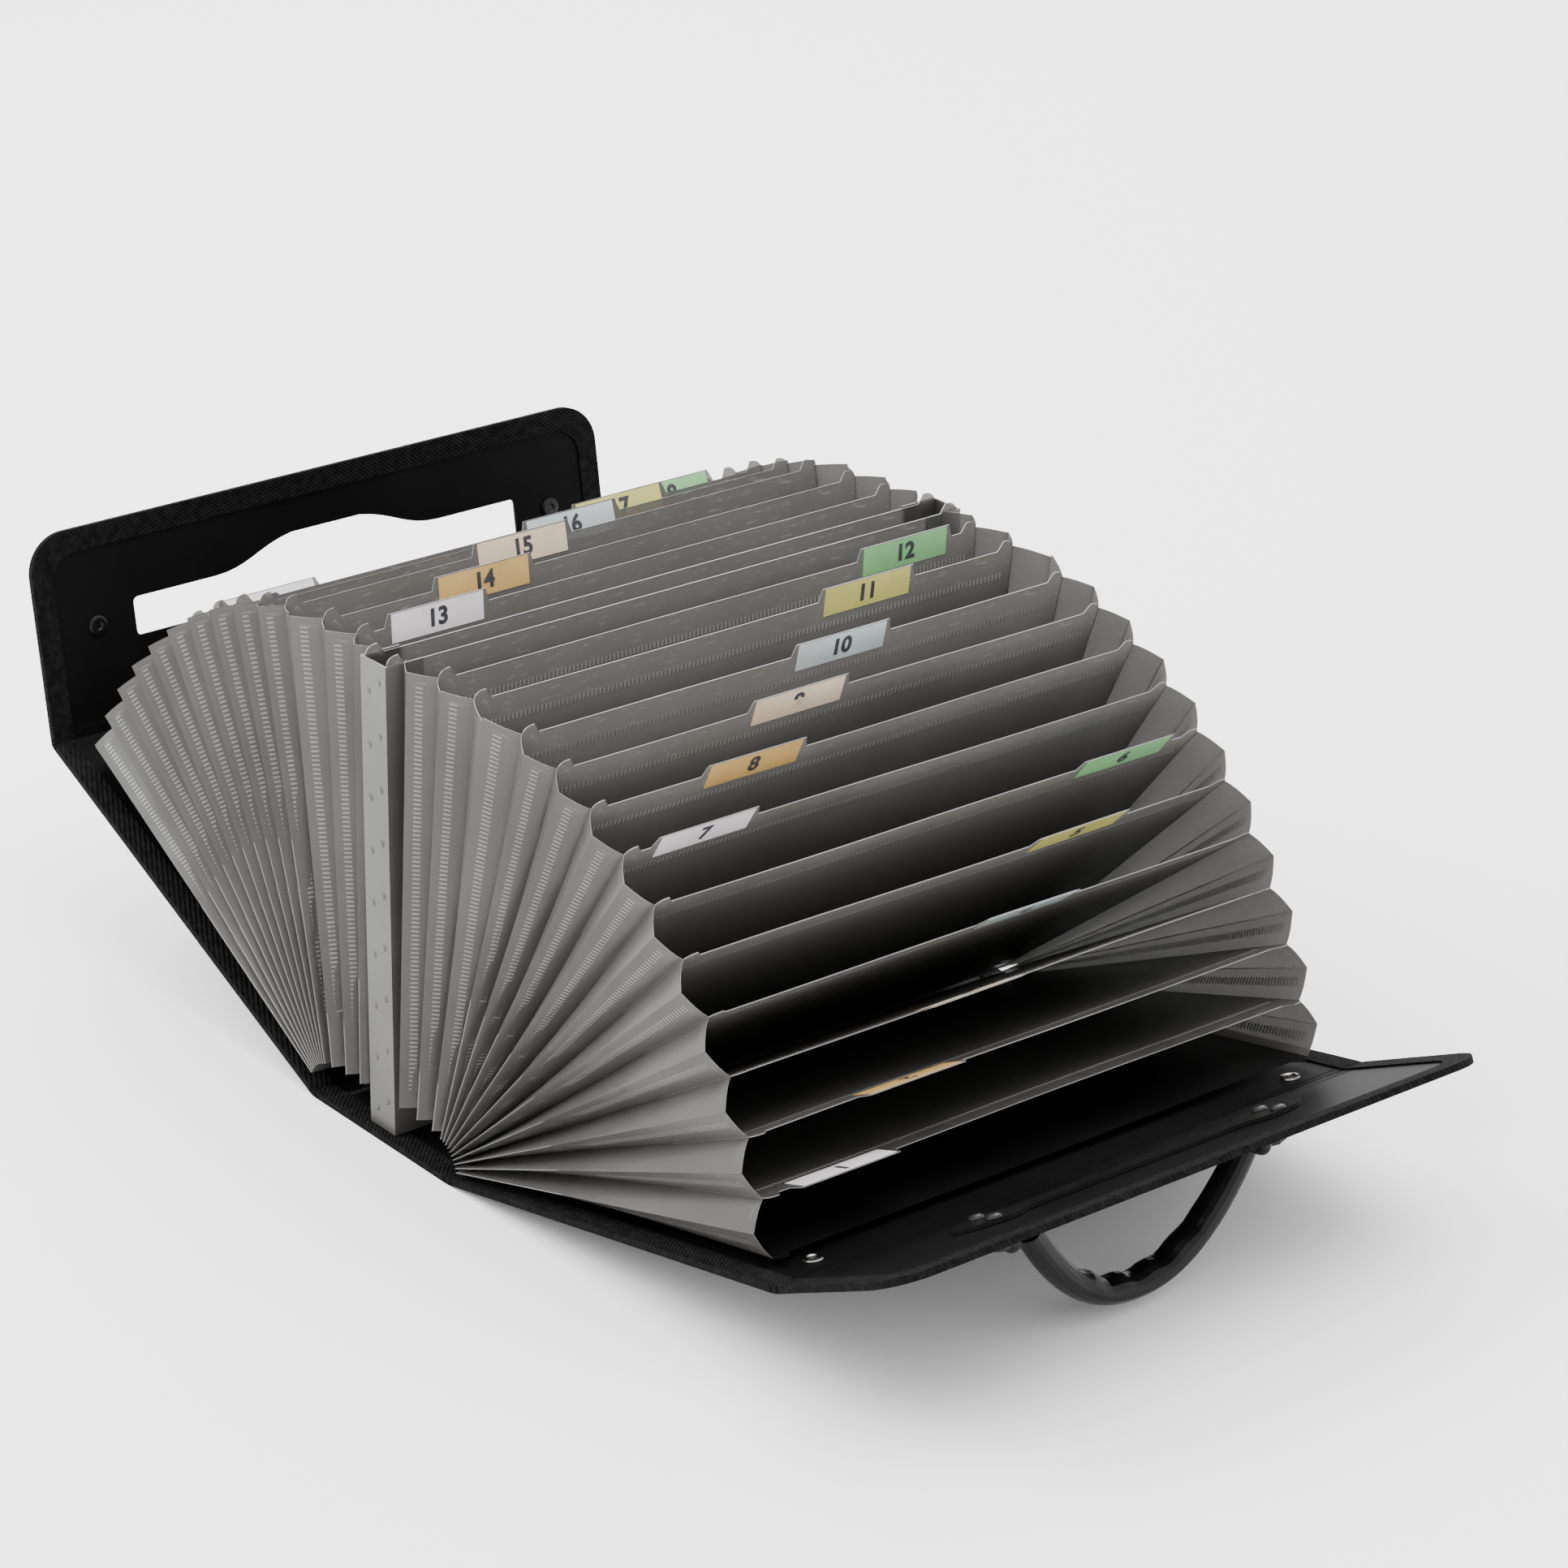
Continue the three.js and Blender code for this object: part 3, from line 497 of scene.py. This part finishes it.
def top_profile(tab_y):
    """(y, height of the top edge above the plain one) across the width."""
    e = EAR_HEIGHT
    stops = [(-HALF, e - 4), (-HALF + 0.5, e - 2.4), (-HALF + 1.5, e - 1.1), (-HALF + 3, e - 0.3),
             (-HALF + 4.6, e), (-HALF + EAR_WIDTH - 3, e), (-HALF + EAR_WIDTH, 0)]
    stops += [(-y, h) for y, h in reversed(stops)]
    if tab_y is not None:
        left, right = tab_y - TAB_WIDTH / 2, tab_y + TAB_WIDTH / 2
        stops += [(left - 2, 0), (right + 2, 0)]
        stops += [(y, TAB_HEIGHT) for y in (left, left + 1, right - 1, right)]
    known = sorted(stops)
    fill = []
    for (ya, ha), (yb, hb) in zip(known, known[1:]):
        fill.append((ya, ha))
        pieces = max(1, int((yb - ya) / 12))
        for i in range(1, pieces):
            t = i / pieces
            fill.append((ya + (yb - ya) * t, ha + (hb - ha) * t))
    fill.append(known[-1])
    return fill


def bow(side, k, r, y, height):
    """The film's own slight wave, nothing at its foot and at its edges."""
    up = min(1.0, max(0.0, r / height))
    across = y / HALF
    seed = 1.7 * k + (0.6 if side > 0 else 2.1)
    lift = 0.9 * math.sin(seed) * math.cos(across * math.pi / 2) * math.sin(up * math.pi)
    ripple = 0.35 * math.sin(3.1 * across + 2.3 * seed) * up * (1 - across * across)
    return lift + ripple


def fold_point(line, other, r, end, gap=0.1):
    """How far the free fold lies from the divider at r, and its place across the width."""
    t = (r - GUSSET_START) / (line.height - GUSSET_START)
    here = line.at(r, 0, 0)
    there = other.at(GUSSET_START + t * (other.height - GUSSET_START), 0, 0)
    apart = (there - here).length / 2 / MM
    y = FOLD_BOTTOM + t * (FOLD_TOP - FOLD_BOTTOM)
    return max(0.3, apart - gap), end * y


def gusset_sag(t):
    """How far a gusset half hangs back from straight, as a share of its span, in four facets."""
    facet = min(3, int(4 * t))
    ends = [-GUSSET_SAG * math.sin(math.pi * (facet + i) / 4) for i in (0, 1)]
    return ends[0] + (ends[1] - ends[0]) * (4 * t - facet)


def gusset_rows(line, other, way, end):
    """Half a gusset: from the divider's edge out to the free fold, slightly hollow."""
    rows = []
    for i in range(GUSSET_STEPS + 1):
        r = GUSSET_LOWEST + (line.height + 1 - GUSSET_LOWEST) * i / GUSSET_STEPS
        span, fold_y = fold_point(line, other, r, end)
        row = []
        for j in range(5):
            t = j / 4
            y = end * HALF + (fold_y - end * HALF) * t
            row.append(line.at(r, y, way * span * (t + gusset_sag(t))))
        rows.append(row)
    return rows


def gusset_depths(line):
    return [[line.height * (1 - i / GUSSET_STEPS) * MM] * 5 for i in range(GUSSET_STEPS + 1)]


def side_normal(end, way, line):
    """Roughly square to a gusset half, out of the case."""
    out = line.normal() * way
    mixed = Vector((out.x * 0.6, end, out.z * 0.6))
    return mixed.normalized()


def divider_piece(side, k, lines, tab_y):
    """A divider with its gusset halves and welds, or past the last one the film on the panel."""
    line = lines[k]
    before, after = lines[k - 1], lines[k + 1] if k + 1 < len(lines) else None
    is_divider = k <= COUNT
    made = Builder()
    profile = top_profile(tab_y)
    levels = [0, 0.2, 0.42, 0.64, 0.82, 0.93, 1]
    rows, depths = [], []
    for level in levels:
        row, deep = [], []
        for y, extra in profile:
            top = line.height + (extra if level > 0.95 else 0)
            r = line.start + (top - line.start) * level
            row.append(line.at(r, y, bow(side, k, r, y, line.height)))
            deep.append((line.height + extra - r) * MM)
        rows.append(row)
        depths.append(deep)
    sheet_film, edge = (smoke, edge_highlight_film) if is_divider else (lining_film, lining_film)
    made.sheet(rows, line.normal(), FILM * MM, sheet_film, depths, edge)
    for other, way in ((before, -1), (after, 1)):
        if other is None:
            continue
        for end in (-1, 1):
            rows = gusset_rows(line, other, way, end)
            made.sheet(rows, side_normal(end, way, line), FILM * MM, gusset, gusset_depths(line), edge_highlight_film)
    welds(made, side, k, line, before, after)
    name = f"sheet_{NAME[side]}_{k:02d}" if is_divider else f"panel_sheet_{NAME[side]}"
    obj = made.build(name)
    spread = (line.at(line.height, 0, 0) - before.at(before.height, 0, 0)).length / MM
    w = weight(side, k, line)
    change = (w - weight(side, k - 1, before)) / 2
    follow(obj, side, line, w, change, spread / 2)
    node_name = f"divider_{NAME[side]}_{k:02d}" if is_divider else f"lining_{NAME[side]}"
    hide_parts(node_name)
    return line, w, change, spread / 2


def welds(made, side, k, line, before, after):
    """Dotted weld line under the top edge, and a ladder of short welds down each gusset."""
    matrix = line.matrix()
    flip = 1 if matrix.col[1][1] > 0 else -1
    r = line.height - DOT_BELOW
    y = -HALF + DOT_MARGIN
    out = FILM / 2 + DOT_LIFT
    while k <= COUNT and y < HALF - DOT_MARGIN:
        off = bow(side, k, r, y, line.height)
        lo, hi = sorted((flip * y, flip * (y + DOT_WIDTH)))
        made.box(matrix, r, r + DOT_HEIGHT, lo, hi, off - out, off + out, dotted_weld)
        y += DOT_PITCH
    # The ladder is on the half of each gusset that faces the front of the case
    other, way = (before, -1) if side > 0 else (after, 1)
    if other is None:
        return
    for end in (-1, 1):
        r = RUNG_FROM
        while r < line.height - RUNG_MARGIN:
            points = []
            for t in LADDER:
                for rise in (0, RUNG_HEIGHT):
                    span, fold_y = fold_point(line, other, r + rise, end)
                    y = end * HALF + (fold_y - end * HALF) * t
                    points.append(line.at(r + rise, y, way * span * (t + gusset_sag(t))))
            lift = side_normal(end, way, line) * (FILM / 2 + RUNG_LIFT) * MM
            shell = [p + lift for p in points] + [p - lift for p in points]
            made.shell(shell, BOX_FACES, ladder_weld)
            r += RUNG_PITCH


def text_mesh(body):
    """The points and faces of a number, centred, in metres."""
    curve = bpy.data.curves.new("number", "FONT")
    curve.body = body
    curve.size = NUMBER_SIZE
    curve.align_x = "CENTER"
    curve.align_y = "CENTER"
    curve.extrude = NUMBER_DEPTH
    curve.offset = NUMBER_WEIGHT
    holder = bpy.data.objects.new("number", curve)
    bpy.context.scene.collection.objects.link(holder)
    bpy.context.view_layer.update()
    graph = bpy.context.evaluated_depsgraph_get()
    mesh = bpy.data.meshes.new_from_object(holder.evaluated_get(graph))
    points = [v.co.copy() for v in mesh.vertices]
    faces = [tuple(p.vertices) for p in mesh.polygons]
    bpy.data.objects.remove(holder)
    bpy.data.meshes.remove(mesh)
    return points, faces


def tab_place(side, k):
    """The tab's middle across the width, and its place in the run of six."""
    turn = (k - 1) % TAB_PLACES
    spot = TAB_PLACES - 1 - turn if side > 0 else turn
    return (spot - (TAB_PLACES - 1) / 2) * TAB_PITCH, spot


def label_piece(side, k, line, number, follow_values):
    """A paper insert in a tab, with its number on both faces."""
    tab_y, spot = tab_place(side, k)
    made = Builder()
    matrix = line.matrix()
    middle = line.height - LABEL_BELOW
    off = bow(side, k, middle, tab_y, line.height)
    half = TAB_WIDTH / 2 - LABEL_MARGIN
    across = [tab_y + half * (i / 4 - 1) for i in range(9)]
    rows = []
    for r in (middle - LABEL_HALF, middle, line.height, middle + LABEL_HALF):
        rows.append([line.at(r, y, bow(side, k, r, y, line.height)) for y in across])
    depths = [[0] * len(across)] * len(rows)
    made.sheet(rows, line.normal(), 2 * LABEL_THICK * MM, papers[spot], depths, papers[spot])
    points, faces = text_mesh(str(number))
    up = matrix.col[0].to_3d()
    out = matrix.col[2].to_3d()
    for face_side in (1, -1):
        # Each face reads from its own side, the right way up
        facing = out * face_side
        right = up.cross(facing)
        base = line.at(middle, tab_y, off) + facing * (LABEL_THICK * MM + NUMBER_LIFT)
        placed = [base + right * p.x + up * p.y + facing * p.z for p in points]
        made.shell(placed, faces, ink)
    obj = made.build(f"label_{NAME[side]}_{k:02d}")
    follow(obj, side, *follow_values)


def box_gusset(side, lines):
    """The half gussets beside the box pocket, both ends."""
    made = Builder()
    box_line, first = lines[0], lines[1]
    for end in (-1, 1):
        rows = gusset_rows(box_line, first, 1, end)
        square = side_normal(end, 1, box_line)
        made.sheet(rows, square, FILM * MM, gusset, gusset_depths(box_line), edge_highlight_film)
    obj = made.build(f"box_gusset_{NAME[side]}")
    half = weight(side, 1, first) / 2
    apart = (first.at(first.height, 0, 0) - box_line.at(box_line.height, 0, 0)).length / MM / 2
    length = apart / inverse_smoothstep(half)
    box_line.at(0, 0, 0)
    box_line.at(0, 0, length)
    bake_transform(obj)


def box_wall(name):
    """A wall of the box pocket, a film sheet with an ear at each end."""
    x = WALL_PLACE[name]
    made = Builder()
    rows, depths = [], []
    for level in (0, 0.5, 0.9, 1):
        row, deep = [], []
        for y, extra in top_profile(None):
            top = TOP - WALL_DROP + (extra if level > 0.95 else 0)
            z = BOX_FLOOR + (top - BOX_FLOOR) * level
            row.append(Vector((x + SHIFT_X, y * WALL_HALF / HALF, z + SHIFT_Z)) * MM)
            deep.append((TOP + extra - z) * MM)
        rows.append(row)
        depths.append(deep)
    made.sheet(rows, Vector((1, 0, 0)), WALL_THICK * MM, smoke, depths, edge_highlight_film)
    obj = made.build(f"box_sheet_{name}")
    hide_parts(f"box_wall_{name}")
    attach(obj, "base")


box_wall("front")
box_wall("back")
for side, degrees in ((1, FRONT_ANGLE), (-1, BACK_ANGLE)):
    lines = fan_lines(side, degrees)
    box_gusset(side, lines)
    for k in range(1, COUNT + 2):
        tab_y = tab_place(side, k)[0] if k <= COUNT else None
        values = divider_piece(side, k, lines, tab_y)
        if k <= COUNT:
            shown = COUNT + 1 - k if side > 0 else COUNT + k
            label_piece(side, k, lines[k], shown, values)


# Cover creases

def crease(name, matrix, parent_matrix):
    """The cover sheet and its edge tapes carried on across a fold, from one plate to the next."""
    made = Builder()
    inner = WIDTH / 2 - TAPE_INSET
    steps = 10
    for y0, y1, half, reach, mat in (
        (-inner, inner, COVER_SKIN, COVER_REACH, crease_cover),
        (-WIDTH / 2, -inner, TAPE_SKIN, TAPE_REACH, tape_flat),
        (inner, WIDTH / 2, TAPE_SKIN, TAPE_REACH, tape_flat),
    ):
        rows = []
        for i in range(steps + 1):
            s = -reach + 2 * reach * i / steps
            base = parent_matrix if s < 0 else matrix
            rows.append((base @ (Vector((s, 0, 0)) * MM), base.col[2].to_3d()))
        points = []
        for centre, up in rows:
            for y, z in ((y0, half), (y1, half), (y1, -half), (y0, -half)):
                points.append(centre + Vector((0, y * MM, 0)) + up * (z * MM))
        faces = [(0, 1, 2, 3), tuple(4 * steps + i for i in (3, 2, 1, 0))]
        for i in range(steps):
            for j in range(4):
                q = (j + 1) % 4
                faces.append((4 * i + j, 4 * (i + 1) + j, 4 * (i + 1) + q, 4 * i + q))
        made.shell(points, faces, mat)
    obj = made.build(name)
    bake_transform(obj)


tape_flat = tape_material("tape_flat", (0, 0, 0))
tape_up = tape_material("tape_upright", (0, math.radians(90), 0))
crease_cover = cover_material("cover_crease", (0, 0, -1))


crease("crease_front_foot", frames["front"],
       panel_frame(1, SPINE / 2, HINGE_Z, 0))
crease("crease_back_foot", frames["back"],
       panel_frame(-1, -SPINE / 2, HINGE_Z, 0))
crease("crease_inner_flap", frames["inner"],
       panel_frame(1, *corner(1, FRONT_HEIGHT, FRONT_ANGLE), FRONT_ANGLE))
crease("crease_outer_flap", frames["outer"],
       panel_frame(-1, *corner(-1, BACK_HEIGHT, BACK_ANGLE), BACK_ANGLE))


def score(name, matrix, place, body):
    """A pressed score line beside a crease, drawn as a hair-thin raised bead on both faces."""
    made = Builder()
    for z in (SCORE_FACE, -SCORE_FACE):
        made.box(matrix, place - SCORE_HALF_WIDTH, place + SCORE_HALF_WIDTH,
                 -SCORE_HALF_LENGTH, SCORE_HALF_LENGTH,
                 z - SCORE_HALF_HEIGHT, z + SCORE_HALF_HEIGHT, groove)
    obj = made.build(name)
    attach(obj, body)


score("score_front_panel", frames["front"], FRONT_HEIGHT - SCORE_GAP, "front_panel")
score("score_inner_flap", frames["inner"], SCORE_GAP, "inner_flap")
score("score_back_panel", frames["back"], BACK_HEIGHT - SCORE_GAP, "back_panel")
score("score_outer_flap", frames["outer"], SCORE_GAP, "outer_flap")


# Route of an elastic loop on the front panel, as in the CAD
LOOP = [
    (223.0, 1.9), (219.0, 2.3), (214.0, 3.1), (208.0, 4.0), (202.0, 4.7), (196.0, 5.1), (190.0, 5.0),
    (184.6, 4.4), (180.4, 3.3), (177.8, 1.8), (176.9, 0.0), (177.8, -1.8), (180.4, -3.3),
    (184.6, -4.4), (190.0, -5.0), (196.0, -5.1), (202.0, -4.7), (208.0, -4.0), (214.0, -3.1),
    (219.0, -2.3), (223.0, -1.9),
]


def elastic_loop(side_name, y0):
    """Both ends start below the eyelet, and the loop lies along the outside of the panel."""
    curve = bpy.data.curves.new(f"loop_{side_name}", "CURVE")
    curve.dimensions = "3D"
    curve.bevel_depth = CORD / 2
    curve.bevel_resolution = 3
    curve.resolution_u = 6
    curve.use_fill_caps = True
    spline = curve.splines.new("POLY")
    places = [frames["front"] @ (Vector((s, y0 + y, LOOP_LOW)) * MM) for s, y in LOOP]
    spline.points.add(len(places) - 1)
    for point, place in zip(spline.points, places):
        point.co = (*place, 1)
    curve.materials.append(elastic)
    obj = bpy.data.objects.new(f"loop_{side_name}", curve)
    bpy.context.scene.collection.objects.link(obj)
    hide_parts(f"elastic_loop_{side_name}")
    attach(obj, "front_panel")


elastic_loop("near", -EYELET_Y)
elastic_loop("far", EYELET_Y)


# Finish of the pieces carried over from the CAD

def paint(names, mat, angle=None):
    """Gives CAD pieces their finish, and smooth shading up to an edge angle in degrees."""
    for name in names:
        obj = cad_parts[name]
        obj.data.materials.clear()
        obj.data.materials.append(mat)
        if angle:
            obj.data.shade_smooth()
            obj.data.set_sharp_from_angle(angle=math.radians(angle))


def outward(matrix):
    """The direction out of the case, square to a plate."""
    return tuple(-c for c in matrix.col[2].to_3d())


paint(["cover_spine"], cover_material("cover_spine", (0, 0, -1)))
paint(["cover_front"], cover_material("cover_front", outward(frames["front"])))
paint(["cover_back"], cover_material("cover_back", outward(frames["back"])))
paint(["inner_flap"], cover_material("cover_inner_flap", outward(frames["inner"])))
paint(["outer_flap"], cover_material("cover_outer_flap", outward(frames["outer"])))
paint([f"binding_{part}_{end}" for part in ("spine", "front", "back") for end in ("near", "far")],
      tape_flat)
paint(["binding_inner_flap"], tape_flat)
paint(["binding_outer_flap"], tape_up)
SHARP = 35
paint(["button_near", "button_far", "handle_mount_near", "handle_mount_far", "handle_grip",
       "handle_strip"], hard_black, SHARP)
paint([f"rivet_{end}_{mark}" for end in ("near", "far") for mark in ("a", "b")], rivet_black, SHARP)
paint(["eyelet_near", "eyelet_far"], nickel, SHARP)
paint(["box_end_near", "box_end_far", "box_floor"], silver, SHARP)


# Stage

def area_light(name, place, target, size, energy):
    light = bpy.data.lights.new(name, "AREA")
    light.shape = "SQUARE"
    light.size = size
    light.energy = energy
    obj = bpy.data.objects.new(name, light)
    obj.location = place
    obj.rotation_euler = (Vector(target) - Vector(place)).to_track_quat("-Z", "Y").to_euler()
    bpy.context.scene.collection.objects.link(obj)


FLOOR_HALF, FLOOR_Z = 7, -0.0002
floor_mesh = bpy.data.meshes.new("floor")
floor_corners = [(x * FLOOR_HALF, y * FLOOR_HALF, FLOOR_Z) for x, y in ((-1, -1), (1, -1), (1, 1), (-1, 1))]
floor_mesh.from_pydata(floor_corners, [], [(0, 1, 2, 3)])
floor_mesh.materials.append(material("floor", (0.93, 0.93, 0.93), 0.9, specular=0.1))
floor = bpy.data.objects.new("floor", floor_mesh)
bpy.context.scene.collection.objects.link(floor)

world = bpy.data.worlds.new("studio")
bpy.context.scene.world = world
world.use_nodes = True
world.node_tree.nodes["Background"].inputs["Color"].default_value = (1, 1, 1, 1)
world.node_tree.nodes["Background"].inputs["Strength"].default_value = 2.0
area_light("key", (-1.7, -1.7, 2.1), (0, 0, 0.1), 1.8, 150)
area_light("top", (0.5, 0.2, 3.0), (0, 0, 0.1), 2.6, 120)
area_light("back", (-1.8, 1.6, 1.9), (0, 0, 0.1), 1.8, 60)

camera = bpy.data.cameras.new("camera")
camera.lens = 116.15
camera.sensor_width = 36
camera.clip_start = 0.05
camera_object = bpy.data.objects.new("camera", camera)
camera_object.location = (1.63413, -1.2782, 1.0571)
camera_object.rotation_euler = (1.15535, -0.01209, 0.89881)
bpy.context.scene.collection.objects.link(camera_object)
bpy.context.scene.camera = camera_object
